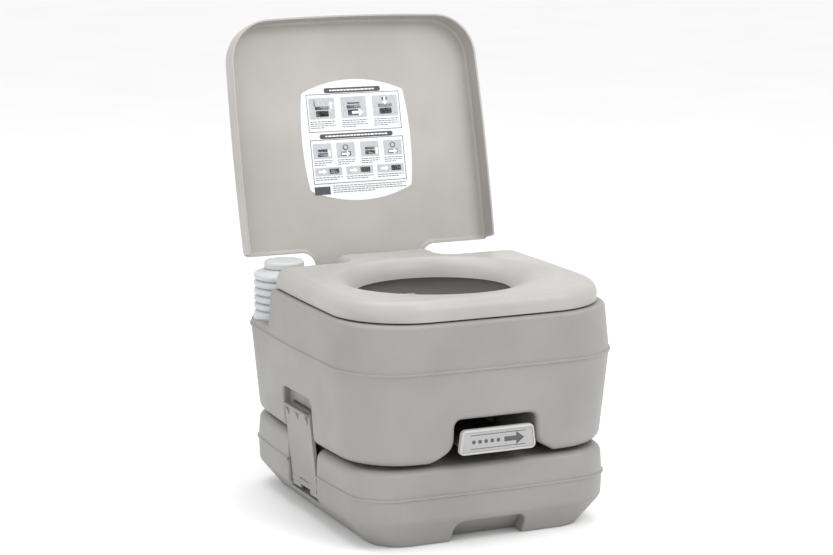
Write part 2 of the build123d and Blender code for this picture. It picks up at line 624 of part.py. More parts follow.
# ---------------------------------------------------------------- seat
def seat_outline(grow, z):
    """Plan of the seat: a broad front, square shoulders and a tongue at the back for the hinge."""
    half, front = SEAT_HALF + grow, SEAT_FRONT_Y - grow
    back, tongue, end = SEAT_BACK_Y + grow, SEAT_TONGUE_HALF + grow, SEAT_TONGUE_Y + grow
    edges = [
        ThreePointArc((-half + 3, front + 4), (0, front), (half - 3, front + 4)),
        ThreePointArc((half - 3, front + 4), (half, -50), (half - 2, back)),
        Polyline((half - 2, back), (tongue, back), (tongue, end), (-tongue, end), (-tongue, back),
                 (2 - half, back)),
        ThreePointArc((2 - half, back), (-half, -50), (-half + 3, front + 4)),
    ]
    face = make_face(edges)
    corners = [((x, front + 4), SEAT_CORNER + grow) for x in (3 - half, half - 3)]
    corners += [((x, back), 20 + grow) for x in (2 - half, half - 2)]
    corners += [((x, back), 14 - grow) for x in (-tongue, tongue)]
    corners += [((x, end), 9 + grow) for x in (-tongue, tongue)]
    for (x, y), radius in corners:
        face = fillet(face.vertices().sort_by_distance((x, y, 0))[0], radius)
    return Pos(0, 0, z) * face


def seat_opening(grow):
    """The hole and the dish round it, which is steep at the lip and nearly level at the top."""
    rise = SEAT_TOP_Z - SEAT_LOW_Z
    faces = []
    for up, out in ((-0.15, -0.04), (0.0, 0.0), (0.45, 0.22), (0.80, 0.58), (1.0, 1.0), (1.04, 1.12)):
        oval = Ellipse(SEAT_LIP_HALF_X + SEAT_DISH_X * out + grow,
                       SEAT_LIP_HALF_Y + SEAT_DISH_Y * out + grow)
        faces.append(Pos(0, BOWL_Y + SEAT_DISH_SHIFT * out, SEAT_LOW_Z + rise * up - grow) * oval)
    return loft(faces)


def bumper_places():
    """Where the four rubber feet of the seat stand."""
    front = SEAT_HALF - BUMPER_FRONT[0], SEAT_FRONT_Y + BUMPER_FRONT[1]
    back = SEAT_HALF - BUMPER_BACK[0], SEAT_BACK_Y - BUMPER_BACK[1]
    return [(-front[0], front[1]), front, (-back[0], back[1]), back]


def seat_knuckle_span():
    start = LUG_IN_X + LUG_WIDTH + KNUCKLE_GAP
    return start, start + SEAT_KNUCKLE_WIDTH


def make_seat():
    body = extrude(seat_outline(0, SEAT_LOW_Z), SEAT_TOP_Z - SEAT_LOW_Z)
    body = fillet(body.edges().group_by(Axis.Z)[-1], SEAT_EDGE_ROUND)
    space = extrude(seat_outline(-SEAT_SKIN, SEAT_LOW_Z - 1), SEAT_TOP_Z - SEAT_SKIN - SEAT_LOW_Z + 1)
    space = fillet(space.edges().group_by(Axis.Z)[-1], SEAT_EDGE_ROUND - SEAT_SKIN)
    space -= seat_opening(SEAT_SKIN)
    body -= seat_opening(0)
    body -= space
    for x, y in bumper_places():
        body += rod(BUMPER_RADIUS + 1, (x, y, SEAT_LOW_Z + 1), (x, y, SEAT_TOP_Z - 1))
        body -= rod(BUMPER_STEM + PIN_CLEAR, (x, y, SEAT_LOW_Z),
                    (x, y, SEAT_LOW_Z + 1 + BUMPER_STEM_LENGTH))
    x0, x1 = seat_knuckle_span()
    arm = hinge_bar(KNUCKLE_RADIUS, x0, x1)
    arm += block(x0, x1, HINGE_Y - 5, SEAT_TONGUE_Y - 0.5, HINGE_Z, SEAT_TOP_Z - 2)
    body += both_sides(arm)
    return body - both_sides(hinge_bar(HINGE_PIN_RADIUS + PIN_CLEAR, x0 - 1, x1 + 1))


def make_seat_bumpers():
    pads = []
    for x, y in bumper_places():
        pad = rod(BUMPER_RADIUS, (x, y, DECK_Z), (x, y, SEAT_LOW_Z + 1))
        pads.append(pad + rod(BUMPER_STEM, (x, y, SEAT_LOW_Z), (x, y, SEAT_LOW_Z + 1 + BUMPER_STEM_LENGTH)))
    return pads


# ---------------------------------------------------------------- lid, drawn shut and then swung open
def lid_outline(grow, z):
    """Plan of the lid: bowed front, round front corners, cut-away back corners and a neck."""
    half, front = LID_HALF + grow, LID_FRONT_Y - grow
    back, neck, end = LID_SHOULDER_Y + grow, LID_NECK_HALF + grow, LID_BACK_Y + grow
    edges = [
        ThreePointArc((-half + 4, front + 5), (0, front), (half - 4, front + 5)),
        ThreePointArc((half - 4, front + 5), (half, -40), (half - 1, back)),
        Polyline((half - 1, back), (neck, back), (neck, end), (-neck, end), (-neck, back),
                 (1 - half, back)),
        ThreePointArc((1 - half, back), (-half, -40), (-half + 4, front + 5)),
    ]
    face = make_face(edges)
    corners = [((x, front + 5), LID_CORNER + grow) for x in (4 - half, half - 4)]
    corners += [((x, back), LID_SHOULDER_ROUND + grow) for x in (1 - half, half - 1)]
    corners += [((x, back), LID_NECK_ROUND - grow) for x in (-neck, neck)]
    corners += [((x, end), 8 + grow) for x in (-neck, neck)]
    for (x, y), radius in corners:
        face = fillet(face.vertices().sort_by_distance((x, y, 0))[0], radius)
    return Pos(0, 0, z) * face


def opened(shape):
    """Swings a piece of the shut lid about the hinge to where it is drawn."""
    return Pos(0, HINGE_Y, HINGE_Z) * Rot(-LID_OPEN, 0, 0) * Pos(0, -HINGE_Y, -HINGE_Z) * shape


def lid_knuckle_span():
    start = seat_knuckle_span()[1] + KNUCKLE_GAP
    return start, start + LID_KNUCKLE_WIDTH


def make_lid():
    neck_low = HINGE_Z - 4
    body = extrude(lid_outline(0, neck_low), LID_TOP_Z - neck_low)
    body = fillet(body.edges().group_by(Axis.Z)[-1], LID_EDGE_ROUND)
    space = extrude(lid_outline(-LID_SKIN, neck_low - 1), LID_TOP_Z - LID_SKIN - neck_low + 1)
    body -= fillet(space.edges().group_by(Axis.Z)[-1], LID_EDGE_ROUND - LID_SKIN)
    far, lip_z = LID_HALF + 5, LID_TOP_Z - LID_LIP
    inner = LID_NECK_HALF - LID_SKIN - 1
    body -= block(-far, far, LID_FRONT_Y - 5, LID_SHOULDER_Y - 1, neck_low - 2, LID_RIM_Z)
    step = LID_SHOULDER_Y - LID_SKIN - 0.5
    body -= both_sides(block(inner, far, step, LID_CHEEK_Y, neck_low - 2, lip_z))
    body -= block(-inner, inner, step, LID_CHEEK_Y, neck_low - 2, LID_RIM_Z)
    x0, x1 = lid_knuckle_span()
    arm = hinge_bar(KNUCKLE_RADIUS, x0, x1)
    arm += block(x0, x1, HINGE_Y, LID_BACK_Y - LID_SKIN / 2, neck_low, HINGE_Z + 5)
    body += both_sides(arm)
    return opened(body - both_sides(hinge_bar(HINGE_PIN_RADIUS + PIN_CLEAR, x0 - 1, x1 + 1)))


def make_lid_label():
    """The instruction sheet stuck inside the lid, with bowed sides."""
    x, y = LID_LABEL_HALF_X - LID_LABEL_BOW_X, LID_LABEL_HALF_Y - LID_LABEL_BOW_Y
    edges = [
        ThreePointArc((-x, -y), (0, -LID_LABEL_HALF_Y), (x, -y)),
        ThreePointArc((x, -y), (LID_LABEL_HALF_X, 0), (x, y)),
        ThreePointArc((x, y), (0, LID_LABEL_HALF_Y), (-x, y)),
        ThreePointArc((-x, y), (-LID_LABEL_HALF_X, 0), (-x, -y)),
    ]
    face = make_face(edges)
    face = fillet(face.vertices(), LID_LABEL_CORNER)
    under = LID_TOP_Z - LID_SKIN
    return opened(extrude(Pos(0, LID_LABEL_Y, under - LID_LABEL_THICK) * face, LID_LABEL_THICK))


def make_hinge_pins():
    start, end = lug_spans()[0][0] - 1, lug_spans()[1][1]
    pin = hinge_bar(HINGE_PIN_RADIUS, start, end + 0.5)
    pin += hinge_bar(PIN_HEAD_RADIUS, end + 0.1, end + 0.1 + PIN_HEAD_THICK)
    return [pin, mirrored(pin)]


# ---------------------------------------------------------------- slide valve
COVER_Z = BLADE_UNDER_Z + BLADE_THICK + BLADE_CLEAR
COVER_TOP_Z = COVER_Z + COVER_THICK


def make_valve_base():
    body = block(-VALVE_HALF, VALVE_HALF, VALVE_FRONT_Y, VALVE_BACK_Y, WASTE_TOP_Z,
                 BLADE_UNDER_Z - BLADE_CLEAR)
    body = fillet(body.edges().filter_by(Axis.Z), FRAME_CORNER)
    body -= rod(OUTLET_RADIUS, (0, OUTLET_Y, 0), (0, OUTLET_Y, DECK_Z))
    groove_z = BLADE_UNDER_Z - SEAL_THICK
    body -= rod(OUTLET_RADIUS + SEAL_WIDTH, (0, OUTLET_Y, groove_z), (0, OUTLET_Y, DECK_Z))
    for x, y in valve_screw_places():
        body -= rod(SCREW_RADIUS + FRAME_SCREW_CLEAR, (x, y, 0), (x, y, DECK_Z))
    return body


def make_lower_seal():
    radius = OUTLET_RADIUS + SEAL_WIDTH - 0.05
    top = BLADE_UNDER_Z - BLADE_CLEAR
    return pipe(radius, OUTLET_RADIUS + 0.5, (0, OUTLET_Y, BLADE_UNDER_Z - SEAL_THICK), (0, OUTLET_Y, top))


def make_valve_cover():
    """Upper half of the valve frame: rails that guide the blade, a roof and the collar under the bowl."""
    rail_low = BLADE_UNDER_Z - BLADE_CLEAR
    body = block(-VALVE_HALF, VALVE_HALF, VALVE_FRONT_Y, VALVE_BACK_Y, rail_low, COVER_TOP_Z)
    body = fillet(body.edges().filter_by(Axis.Z), FRAME_CORNER)
    path = BLADE_HALF + BLADE_CLEAR
    body -= block(-path, path, VALVE_FRONT_Y - 1, BLADE_BACK_Y + BLADE_CLEAR, rail_low - 1, COVER_Z)
    collar_top = VALVE_ROOF_Z - UPPER_SEAL_HEIGHT
    body += rod(OUTLET_RADIUS + COLLAR_WALL, (0, OUTLET_Y, COVER_TOP_Z - 1), (0, OUTLET_Y, collar_top))
    body -= rod(OUTLET_RADIUS, (0, OUTLET_Y, 0), (0, OUTLET_Y, DECK_Z))
    for x, y in valve_screw_places():
        body -= rod(SCREW_RADIUS + FRAME_SCREW_CLEAR, (x, y, 0), (x, y, DECK_Z))
    return body


def make_upper_seal():
    outer = OUTLET_RADIUS + COLLAR_WALL
    low = VALVE_ROOF_Z - UPPER_SEAL_HEIGHT
    ring = pipe(outer, OUTLET_RADIUS, (0, OUTLET_Y, low), (0, OUTLET_Y, VALVE_ROOF_Z - 1))
    return ring + pipe(outer - 1.2, OUTLET_RADIUS + 1.2, (0, OUTLET_Y, low), (0, OUTLET_Y, VALVE_ROOF_Z))


def make_blade():
    front = HANDLE_FRONT_Y + HANDLE_PLATE + BLADE_CLEAR
    body = block(-BLADE_HALF, BLADE_HALF, VALVE_FRONT_Y, BLADE_BACK_Y, BLADE_UNDER_Z,
                 BLADE_UNDER_Z + BLADE_THICK)
    body = fillet(body.edges().filter_by(Axis.Z).group_by(Axis.Y)[-1], 12)
    stem = HANDLE_HALF - HANDLE_TAPER - STEM_MARGIN
    body += block(-stem, stem, front, VALVE_FRONT_Y + 1, BLADE_UNDER_Z, BLADE_UNDER_Z + BLADE_THICK)
    for x in (-HANDLE_SCREW_X, HANDLE_SCREW_X):
        y = HANDLE_FRONT_Y + HANDLE_DEPTH - HANDLE_SCREW_INSET
        body -= rod(SCREW_RADIUS + 0.1, (x, y, 0), (x, y, DECK_Z))
    return body


def make_valve_screws():
    screws = []
    for x, y in valve_screw_places():
        shank = rod(SCREW_RADIUS, (x, y, WASTE_TOP_Z - SCREW_DEPTH), (x, y, COVER_TOP_Z))
        screws.append(shank + rod(SCREW_HEAD_RADIUS, (x, y, COVER_TOP_Z),
                                  (x, y, COVER_TOP_Z + SCREW_HEAD_HEIGHT)))
    return screws


def front_plate(half_x, z0, z1, y0, y1, corner):
    """A plate that faces the front, narrower at the top, with round corners; half_x is at the foot."""
    top = half_x - HANDLE_TAPER * (z1 - z0) / (HANDLE_HIGH_Z - HANDLE_LOW_Z)
    face = make_face(Polyline((-half_x, z0), (half_x, z0), (top, z1), (-top, z1), close=True))
    plate = extrude(Plane.XZ.offset(-y1) * face, y1 - y0)
    return fillet(plate.edges().filter_by(Axis.Y), corner)


def make_handle():
    back = HANDLE_FRONT_Y + HANDLE_DEPTH
    plate_back = HANDLE_FRONT_Y + HANDLE_PLATE
    body = front_plate(HANDLE_HALF, HANDLE_LOW_Z, HANDLE_HIGH_Z, HANDLE_FRONT_Y, plate_back, HANDLE_CORNER)
    body = fillet(body.edges().group_by(Axis.Y)[0], HANDLE_EDGE)
    rim = HANDLE_BORDER
    face_y = HANDLE_FRONT_Y + LABEL_RECESS
    low, high = HANDLE_LOW_Z, HANDLE_HIGH_Z
    body -= front_plate(HANDLE_HALF - rim, low + rim, high - rim, HANDLE_FRONT_Y - 1, face_y, 3)
    grip_z = BLADE_UNDER_Z + BLADE_THICK + rim
    stem = HANDLE_HALF - HANDLE_TAPER - STEM_MARGIN
    body += block(-stem - rim, stem + rim, plate_back - 1, back, low + 1, grip_z)
    body -= block(-stem - 0.1, stem + 0.1, plate_back, back + 1, BLADE_UNDER_Z, BLADE_UNDER_Z + BLADE_THICK)
    screw_y = back - HANDLE_SCREW_INSET
    for x in (-HANDLE_SCREW_X, HANDLE_SCREW_X):
        body -= rod(SCREW_RADIUS + 0.05, (x, screw_y, low + 1.5), (x, screw_y, grip_z + 1))
    return body


def make_handle_label():
    rim = HANDLE_BORDER + 0.4
    low, high = HANDLE_LOW_Z + rim, HANDLE_HIGH_Z - rim
    face_y = HANDLE_FRONT_Y + LABEL_RECESS
    return front_plate(HANDLE_HALF - rim, low, high, face_y - LABEL_THICK, face_y, 2.6)


def make_handle_screws():
    top = BLADE_UNDER_Z + BLADE_THICK + HANDLE_BORDER
    y = HANDLE_FRONT_Y + HANDLE_DEPTH - HANDLE_SCREW_INSET
    screws = []
    for x in (-HANDLE_SCREW_X, HANDLE_SCREW_X):
        screw = rod(SCREW_RADIUS, (x, y, HANDLE_LOW_Z + 1.5), (x, y, top))
        screws.append(screw + rod(SCREW_HEAD_RADIUS, (x, y, top), (x, y, top + SCREW_HEAD_HEIGHT)))
    return screws


# ---------------------------------------------------------------- latches
def make_latch():
    """Right-hand latch: a leaning plate with a hook on top and a split barrel at its foot."""
    lean = (LATCH_TOP_X - LATCH_FOOT_X) / (LATCH_TOP_Z - LATCH_FOOT_Z)
    hook_x = LATCH_TOP_X - LATCH_THICK - LATCH_HOOK
    hook_low = LATCH_TOP_Z - LATCH_HOOK_HEIGHT
    under_x = LATCH_TOP_X - LATCH_THICK - lean * LATCH_HOOK_HEIGHT
    points = [(LATCH_FOOT_X, LATCH_FOOT_Z), (LATCH_TOP_X, LATCH_TOP_Z), (hook_x, LATCH_TOP_Z),
              (hook_x, hook_low)]
    points += [(under_x, hook_low), (LATCH_FOOT_X - LATCH_THICK, LATCH_FOOT_Z)]
    low, high = LATCH_Y - LATCH_WIDTH / 2, LATCH_Y + LATCH_WIDTH / 2
    face = make_face(Polyline(*points, close=True))
    plate = extrude(Plane.XZ.offset(-high) * face, LATCH_WIDTH)
    hook_half = CATCH_HALF - 2
    trim = LATCH_TOP_X - LATCH_THICK - 1
    plate -= block(0, trim, LATCH_Y + hook_half, high + 1, hook_low - 1, LATCH_TOP_Z + 1)
    plate -= block(0, trim, low - 1, LATCH_Y - hook_half, hook_low - 1, LATCH_TOP_Z + 1)
    x, z = latch_pivot()
    plate += rod(LATCH_BARREL_RADIUS, (x, low + 2, z), (x, high - 2, z))
    half = LATCH_LUG_WIDTH / 2 + KNUCKLE_GAP
    reach = LATCH_BARREL_RADIUS + KNUCKLE_GAP
    plate -= block(0, x + reach, LATCH_Y - half, LATCH_Y + half, z - reach - 9, z + reach)
    return plate - rod(LATCH_PIN_RADIUS + PIN_CLEAR, (x, low, z), (x, high, z))


def make_latch_pins():
    x, z = latch_pivot()
    half = LATCH_WIDTH / 2 - 3
    pin = rod(LATCH_PIN_RADIUS, (x, LATCH_Y - half, z), (x, LATCH_Y + half, z))
    return [pin, mirrored(pin)]


# ---------------------------------------------------------------- bellows pump
BELLOWS_LOW_Z = PUMP_Z + WALL
BELLOWS_TOP_Z = CAP_TOP_Z - CAP_SIDE - 2


def turned(points):
    """A solid of revolution about the pump's axis, from points of radius and height."""
    face = Plane.XZ * make_face(Polyline(*points, close=True))
    return Pos(PUMP_X, PUMP_Y, 0) * revolve(face, Axis.Z)


def make_bellows():
    """Zigzag skin on a flat foot."""
    first = BELLOWS_LOW_Z + PUMP_COLLAR_HEIGHT
    outside = [(PUMP_BASE_RADIUS - 3, BELLOWS_LOW_Z), (PUMP_BASE_RADIUS - 3, BELLOWS_LOW_Z + 2)]
    outside += [(FOLD_IN, BELLOWS_LOW_Z + 2), (FOLD_IN, first - 1)]
    pitch = (BELLOWS_TOP_Z - BELLOWS_NECK - first) / FOLD_COUNT
    for i in range(FOLD_COUNT):
        outside += [(FOLD_OUT, first + pitch * (i + 0.5)), (FOLD_IN, first + pitch * (i + 1))]
    outside[-1] = (BELLOWS_TOP_RADIUS + 3, outside[-1][1])
    outside += [(BELLOWS_TOP_RADIUS - 3, BELLOWS_TOP_Z)]
    inside = [(r - BELLOWS_SKIN, z) for r, z in outside[2:-1]]
    inside = [(BELLOWS_TOP_RADIUS - 5, BELLOWS_TOP_Z)] + inside[::-1]
    inside.append((FOLD_IN - BELLOWS_SKIN, BELLOWS_LOW_Z))
    return turned(outside + inside)


def make_pump_cap():
    """Domed press button that plugs into the top of the bellows."""
    side_low = CAP_TOP_Z - CAP_SIDE - 2
    body = Pos(PUMP_X, PUMP_Y, side_low) * Cylinder(
        CAP_RADIUS, CAP_SIDE + 2, align=(Align.CENTER, Align.CENTER, Align.MIN)
    )
    body = fillet(body.edges().group_by(Axis.Z)[-1], 4)
    hollow = rod(CAP_RADIUS - CAP_SKIN, (PUMP_X, PUMP_Y, side_low - 1),
                 (PUMP_X, PUMP_Y, CAP_TOP_Z - CAP_SKIN - 1))
    plug = pipe(BELLOWS_TOP_RADIUS - 5.1, BELLOWS_TOP_RADIUS - 7, (PUMP_X, PUMP_Y, side_low - 5),
                (PUMP_X, PUMP_Y, CAP_TOP_Z - 3))
    seat = pipe(CAP_RADIUS, BELLOWS_TOP_RADIUS - 7, (PUMP_X, PUMP_Y, side_low),
                (PUMP_X, PUMP_Y, side_low + 2))
    return body - hollow + plug + seat


def make_pump_collar():
    """Ring that clamps the foot of the bellows to the shelf."""
    low = PUMP_Z
    points = [(PUMP_BASE_RADIUS - 2.8, low), (PUMP_BASE_RADIUS, low), (PUMP_BASE_RADIUS, low + WALL + 2.5)]
    points += [(PUMP_BASE_RADIUS - 2, low + WALL + 4.5), (FOLD_IN + 0.3, low + WALL + 4.5),
               (FOLD_IN + 0.3, low + WALL + 2)]
    points += [(PUMP_BASE_RADIUS - 2.8, low + WALL + 2)]
    return turned(points)


def make_pump_body():
    """Valve body under the bellows: flange, barrel, and spigots for the suction tube and the hose."""
    flange = PUMP_BASE_RADIUS - 3
    body = rod(flange, (PUMP_X, PUMP_Y, PUMP_Z), (PUMP_X, PUMP_Y, BELLOWS_LOW_Z))
    under = PUMP_Z - BARREL_DEPTH
    body += rod(BARREL_RADIUS, (PUMP_X, PUMP_Y, under), (PUMP_X, PUMP_Y, PUMP_Z + 1))
    body -= rod(BARREL_RADIUS - BARREL_WALL, (PUMP_X, PUMP_Y, under + BARREL_WALL),
                (PUMP_X, PUMP_Y, BELLOWS_LOW_Z + 1))
    for side in (-1, 1):
        x = PUMP_X + side * TUBE_OFFSET
        body += rod(TUBE_BORE - 0.05, (x, PUMP_Y, under - SPIGOT_REACH), (x, PUMP_Y, under + 1))
        body -= rod(TUBE_BORE - 1.6, (x, PUMP_Y, under - SPIGOT_REACH - 1), (x, PUMP_Y, under + 4))
    return body


def make_flap_valves():
    """Two rubber discs, one over each port."""
    z = PUMP_Z - BARREL_DEPTH + BARREL_WALL
    flaps = []
    for side in (-1, 1):
        x = PUMP_X + side * TUBE_OFFSET * 0.8
        flaps.append(rod(FLAP_RADIUS, (x, PUMP_Y, z), (x, PUMP_Y, z + FLAP_THICK)))
    return flaps


STRAINER_LOW_Z = FLUSH_BOTTOM_Z + WALL + 1


def make_suction_tube():
    x = PUMP_X - TUBE_OFFSET
    top = PUMP_Z - BARREL_DEPTH
    return pipe(TUBE_RADIUS, TUBE_BORE, (x, PUMP_Y, STRAINER_LOW_Z + 6), (x, PUMP_Y, top))


def make_strainer():
    """Slotted cup on the foot of the suction tube."""
    x, low = PUMP_X - TUBE_OFFSET, STRAINER_LOW_Z
    body = rod(STRAINER_RADIUS, (x, PUMP_Y, low), (x, PUMP_Y, low + STRAINER_HEIGHT))
    body -= rod(TUBE_RADIUS + 0.05, (x, PUMP_Y, low + 6), (x, PUMP_Y, low + STRAINER_HEIGHT + 1))
    body -= rod(TUBE_BORE, (x, PUMP_Y, low + 4), (x, PUMP_Y, low + 7))
    body -= rod(STRAINER_RADIUS - 3, (x, PUMP_Y, low - 1), (x, PUMP_Y, low + 5))
    for turn in range(8):
        body -= Pos(x, PUMP_Y, low) * Rot(0, 0, 45 * turn) * Pos(STRAINER_RADIUS - 1.5, 0, 1) * Box(7, 2, 4)
    return body


NOZZLE_Z = DECK_Z - NOZZLE_DROP
NOZZLE_WALL_Y = BOWL_Y + BOWL_HALF_Y * 0.93


def nozzle_hole():
    return rod(NOZZLE_RADIUS + 0.1, (0, NOZZLE_WALL_Y - 14, NOZZLE_Z), (0, NOZZLE_WALL_Y + 12, NOZZLE_Z))


def make_nozzle():
    """Flush nozzle: a fan spout inside the bowl and an elbow behind its wall."""
    elbow_y = NOZZLE_WALL_Y + ELBOW_REACH
    body = rod(NOZZLE_RADIUS, (0, NOZZLE_WALL_Y - 3, NOZZLE_Z), (0, elbow_y, NOZZLE_Z))
    body += Pos(0, elbow_y, NOZZLE_Z) * Sphere(NOZZLE_RADIUS)
    body += rod(TUBE_BORE - 0.05, (0, elbow_y, NOZZLE_Z - 22), (0, elbow_y, NOZZLE_Z))
    fan = block(-16, 16, NOZZLE_WALL_Y - 8, NOZZLE_WALL_Y - 2, NOZZLE_Z - 9, NOZZLE_Z + 8)
    body += fillet(fan.edges().filter_by(Axis.Y), 4)
    body -= block(-13, 13, NOZZLE_WALL_Y - 6, NOZZLE_WALL_Y - 4, NOZZLE_Z - 12, NOZZLE_Z + 2)
    body -= rod(NOZZLE_BORE, (0, NOZZLE_WALL_Y - 5, NOZZLE_Z), (0, elbow_y, NOZZLE_Z))
    return body - rod(NOZZLE_BORE, (0, elbow_y, NOZZLE_Z - 23), (0, elbow_y, NOZZLE_Z))


def hose_route():
    """From the nozzle's elbow down behind the bowl and across to the pump's outlet spigot."""
    elbow_y = NOZZLE_WALL_Y + ELBOW_REACH
    x = PUMP_X + TUBE_OFFSET
    low = PUMP_Z - BARREL_DEPTH - HOSE_DROP
    return [(0, elbow_y, NOZZLE_Z - 7), (0, elbow_y, low), (x, PUMP_Y, low),
            (x, PUMP_Y, PUMP_Z - BARREL_DEPTH)]


def make_hose():
    path = FilletPolyline(*hose_route(), radius=HOSE_BEND)
    start = Plane(hose_route()[0], z_dir=(0, 0, -1))
    return sweep(start * (Circle(HOSE_RADIUS) - Circle(TUBE_BORE)), path=path)


# ---------------------------------------------------------------- screw caps
def cap_shell():
    """A ribbed screw cap standing mouth down on the XY plane, on a neck of CAP_NECK_HEIGHT."""
    outer = CAP_NECK_RADIUS + CAP_THREAD_GAP + CAP_WALL
    base = Align.CENTER, Align.CENTER, Align.MIN
    low = CAP_NECK_HEIGHT + GASKET_THICK + CAP_WALL - CAP_HEIGHT
    body = Cylinder(outer, CAP_HEIGHT, align=base)
    body = fillet(body.edges().group_by(Axis.Z)[-1], 2)
    for i in range(CAP_RIBS):
        rib = Cylinder(CAP_RIB_RADIUS, CAP_HEIGHT - 5, align=base)
        body += Rot(0, 0, 360 * i / CAP_RIBS) * Pos(outer, 0, 2) * rib
    body -= Cylinder(outer - CAP_WALL, CAP_HEIGHT - CAP_WALL, align=base)
    grip = fillet(Box(2 * outer - 14, CAP_GRIP_WIDTH, CAP_GRIP_HEIGHT).edges().filter_by(Axis.Z), 3)
    body += Pos(0, 0, CAP_HEIGHT + 2) * grip
    return Pos(0, 0, low) * body


def gasket():
    outer = CAP_NECK_RADIUS + CAP_THREAD_GAP - 0.1
    base = Align.CENTER, Align.CENTER, Align.MIN
    ring = Cylinder(outer, GASKET_THICK, align=base) - Cylinder(CAP_NECK_RADIUS - CAP_NECK_WALL,
                                                                GASKET_THICK, align=base)
    return Pos(0, 0, CAP_NECK_HEIGHT) * ring


def at_filler():
    return Location((FILL_X, FILL_Y, SHELF_Z))


# ---------------------------------------------------------------- write the pieces
def build():
    drain = at_drain(WASTE_HALF_Y - DRAIN_RECESS)
    latch = make_latch()
    return {
        "waste_tank": make_waste_tank(),
        "flush_tank": make_flush_tank(),
        "seat": make_seat(),
        "seat_bumpers": make_seat_bumpers(),
        "lid": make_lid(),
        "lid_label": make_lid_label(),
        "hinge_pins": make_hinge_pins(),
        "valve_base": make_valve_base(),
        "valve_lower_seal": make_lower_seal(),
        "valve_blade": make_blade(),
        "valve_cover": make_valve_cover(),
        "valve_upper_seal": make_upper_seal(),
        "valve_screws": make_valve_screws(),
        "valve_handle": make_handle(),
        "valve_handle_label": make_handle_label(),
        "valve_handle_screws": make_handle_screws(),
        "latch_right": latch,
        "latch_left": mirrored(latch),
        "latch_pins": make_latch_pins(),
        "pump_cap": make_pump_cap(),
        "pump_bellows": make_bellows(),
        "pump_collar": make_pump_collar(),
        "pump_body": make_pump_body(),
        "pump_flap_valves": make_flap_valves(),
        "suction_tube": make_suction_tube(),
        "suction_strainer": make_strainer(),
        "flush_hose": make_hose(),
        "flush_nozzle": make_nozzle(),
        "fill_cap": at_filler() * cap_shell(),
        "fill_gasket": at_filler() * gasket(),
        "drain_cap": drain * cap_shell(),
        "drain_gasket": drain * gasket(),
    }


os.makedirs("parts", exist_ok=True)
for name, shape in build().items():
    solids = shape if isinstance(shape, list) else shape.solids()
    piece = Compound(label=name, children=list(solids)) if len(solids) > 1 else solids[0]
    piece.label = name
    export_step(piece, f"parts/{name}.step")
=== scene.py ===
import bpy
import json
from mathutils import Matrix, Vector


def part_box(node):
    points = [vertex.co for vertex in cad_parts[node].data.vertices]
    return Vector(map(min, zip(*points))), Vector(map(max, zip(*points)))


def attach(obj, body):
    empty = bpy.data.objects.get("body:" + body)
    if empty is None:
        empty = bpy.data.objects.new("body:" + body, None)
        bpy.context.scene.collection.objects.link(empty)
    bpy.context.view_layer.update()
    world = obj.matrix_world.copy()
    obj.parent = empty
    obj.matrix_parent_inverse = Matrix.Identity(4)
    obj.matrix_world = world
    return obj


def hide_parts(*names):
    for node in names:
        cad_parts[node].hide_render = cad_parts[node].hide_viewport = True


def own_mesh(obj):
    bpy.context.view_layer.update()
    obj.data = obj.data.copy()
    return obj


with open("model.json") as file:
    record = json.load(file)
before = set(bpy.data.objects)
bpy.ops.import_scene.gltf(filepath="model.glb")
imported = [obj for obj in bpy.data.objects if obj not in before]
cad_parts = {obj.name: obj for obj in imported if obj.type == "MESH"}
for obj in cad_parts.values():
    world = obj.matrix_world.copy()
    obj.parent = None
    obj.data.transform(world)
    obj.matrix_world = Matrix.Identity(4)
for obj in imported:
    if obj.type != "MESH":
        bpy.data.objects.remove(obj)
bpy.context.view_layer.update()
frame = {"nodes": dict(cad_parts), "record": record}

import json
import math

import bmesh
import bpy
from mathutils import Vector

nodes = frame["nodes"]
MM = 0.001

# ------------------------------------------------------------------ view
VIEW_AZIMUTH = math.radians(-24.28)
VIEW_ELEVATION = math.radians(10.705)
VIEW_DISTANCE = 2.85
VIEW_AIM = Vector((-0.0122, 0.0, 0.2861))
LENS = 99.4


def make_camera():
    flat = Vector((math.sin(VIEW_AZIMUTH), -math.cos(VIEW_AZIMUTH), 0.0))
    back = flat * math.cos(VIEW_ELEVATION) + Vector((0, 0, math.sin(VIEW_ELEVATION)))
    data = bpy.data.cameras.new("camera")
    data.lens = LENS
    data.sensor_width = 36.0
    camera = bpy.data.objects.new("camera", data)
    camera.location = VIEW_AIM + back * VIEW_DISTANCE
    camera.rotation_euler = (-back).to_track_quat("-Z", "Y").to_euler()
    bpy.context.scene.collection.objects.link(camera)
    bpy.context.scene.camera = camera


def area_light(name, place, aim, size, power, colour=(1, 1, 1)):
    data = bpy.data.lights.new(name, "AREA")
    data.shape = "RECTANGLE"
    data.size, data.size_y = size
    data.energy = power
    data.color = colour
    light = bpy.data.objects.new(name, data)
    light.location = place
    light.rotation_euler = (Vector(aim) - Vector(place)).to_track_quat("-Z", "Y").to_euler()
    bpy.context.scene.collection.objects.link(light)


def make_lights():
    area_light("key", (0.9, -1.6, 2.1), (0, 0, 0.25), (1.6, 1.2), 26)
    area_light("left_fill", (-2.2, -1.2, 1.1), (0, 0, 0.25), (1.4, 1.6), 7)
    area_light("top", (0.0, 0.3, 2.4), (0, 0, 0.2), (2.0, 1.6), 24)
    world = bpy.data.worlds.new("studio")
    world.use_nodes = True
    background = world.node_tree.nodes["Background"]
    background.inputs["Color"].default_value = (1.0, 1.0, 1.0, 1)
    background.inputs["Strength"].default_value = 1.0
    bpy.context.scene.world = world
    bpy.context.scene.view_settings.view_transform = "Standard"


